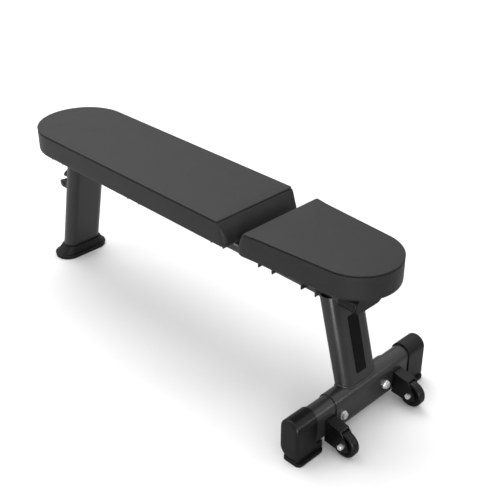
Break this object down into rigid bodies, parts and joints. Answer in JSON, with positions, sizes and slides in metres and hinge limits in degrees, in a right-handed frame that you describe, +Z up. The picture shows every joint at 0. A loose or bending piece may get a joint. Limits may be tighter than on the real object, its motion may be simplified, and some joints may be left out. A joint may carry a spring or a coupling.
{
  "type": "adjustable weight bench",
  "caption": "Low adjustable weight bench with a long tilting backrest, a short tilting seat, a leaning steel frame, rubber feet and transport wheels.",
  "frame": {"origin": "on the floor, below the centre of the overall size", "axes": "+X along the bench from the backrest's head to the front feet, +Y to the side with the pull pins, +Z up"},
  "size_m": [1.2919, 0.476, 0.454],
  "materials": {
    "powder_coat": "satin black powder coat",
    "leatherette": "matt black leatherette with a fine grain",
    "black_plastic": "moulded black plastic",
    "black_rubber": "black rubber",
    "bright_steel": "zinc-plated steel",
    "wheel_tyre": "black polyurethane tread",
    "plywood": "plywood",
    "bronze": "sintered bronze",
    "plate_black": "blank black plate"
  },
  "bodies": {
    "frame": {"spine_beam": "powder_coat", "spine_plug_front": "black_plastic", "spine_plug_rear": "black_plastic", "rear_leg": "powder_coat", "rear_boot": "black_rubber", "carry_handle_bracket": "black_plastic", "carry_handle_rod": "powder_coat", "carry_handle_grip": "black_rubber", "front_leg": "powder_coat", "blank_name_plate": "plate_black", "front_crossbar": "powder_coat", "crossbar_saddle": "powder_coat", "saddle_bolts": "bright_steel", "saddle_washers": "bright_steel", "saddle_nuts": "bright_steel", "end_cap_left": "black_plastic", "end_cap_right": "black_plastic", "rubber_foot_left": "black_rubber", "rubber_foot_right": "black_rubber", "wheel_fork_left": "black_plastic", "wheel_fork_right": "black_plastic", "axle_bolts": "bright_steel", "axle_nuts": "bright_steel", "backrest_pivot_ears": "powder_coat", "seat_pivot_ears": "powder_coat", "pivot_bushes": "bronze", "rest_bumpers": "black_rubber", "backrest_pin_bracket": "powder_coat", "seat_pin_bracket": "powder_coat", "backrest_pin_housing": "bright_steel", "seat_pin_housing": "bright_steel", "pin_housing_nuts": "bright_steel"},
    "wheel_left": {"wheel_hub_left": "black_plastic", "wheel_tyre_left": "wheel_tyre"},
    "wheel_right": {"wheel_hub_right": "black_plastic", "wheel_tyre_right": "wheel_tyre"},
    "backrest": {"backrest_cushion": "leatherette", "backrest_board": "plywood", "backrest_channel_head": "powder_coat", "backrest_channel_middle": "powder_coat", "backrest_channel_pivot": "powder_coat", "backrest_rails": "powder_coat", "backrest_pivot_lugs": "powder_coat", "backrest_pivot_shaft": "bright_steel", "backrest_locking_sector": "powder_coat", "backrest_screws": "bright_steel"},
    "seat": {"seat_cushion": "leatherette", "seat_board": "plywood", "seat_channel_pivot": "powder_coat", "seat_channel_nose": "powder_coat", "seat_rails": "powder_coat", "seat_pivot_lugs": "powder_coat", "seat_pivot_shaft": "bright_steel", "seat_locking_sector": "powder_coat", "seat_screws": "bright_steel"},
    "backrest_pin": {"backrest_pull_pin": "bright_steel", "backrest_pin_knob": "black_plastic"},
    "seat_pin": {"seat_pull_pin": "bright_steel", "seat_pin_knob": "black_plastic"}
  },
  "joints": [
    {"name": "backrest_tilt", "type": "hinge", "parent": "frame", "child": "backrest", "pos_m": [0.186, 0, 0.394], "axis": [0, 1, 0], "range_deg": [0, 75]},
    {"name": "seat_tilt", "type": "hinge", "parent": "frame", "child": "seat", "pos_m": [0.284, 0, 0.394], "axis": [0, -1, 0], "range_deg": [0, 20]},
    {"name": "backrest_pin_pull", "type": "slide", "parent": "frame", "child": "backrest_pin", "axis": [0, 1, 0], "range_m": [-0.008, 0.004]},
    {"name": "seat_pin_pull", "type": "slide", "parent": "frame", "child": "seat_pin", "axis": [0, 1, 0], "range_m": [-0.008, 0.004]},
    {"name": "wheel_left_spin", "type": "hinge", "parent": "frame", "child": "wheel_left", "pos_m": [0.614, -0.127, 0.0345], "axis": [0, 1, 0], "continuous": true},
    {"name": "wheel_right_spin", "type": "hinge", "parent": "frame", "child": "wheel_right", "pos_m": [0.614, 0.127, 0.0345], "axis": [0, 1, 0], "continuous": true}
  ]
}
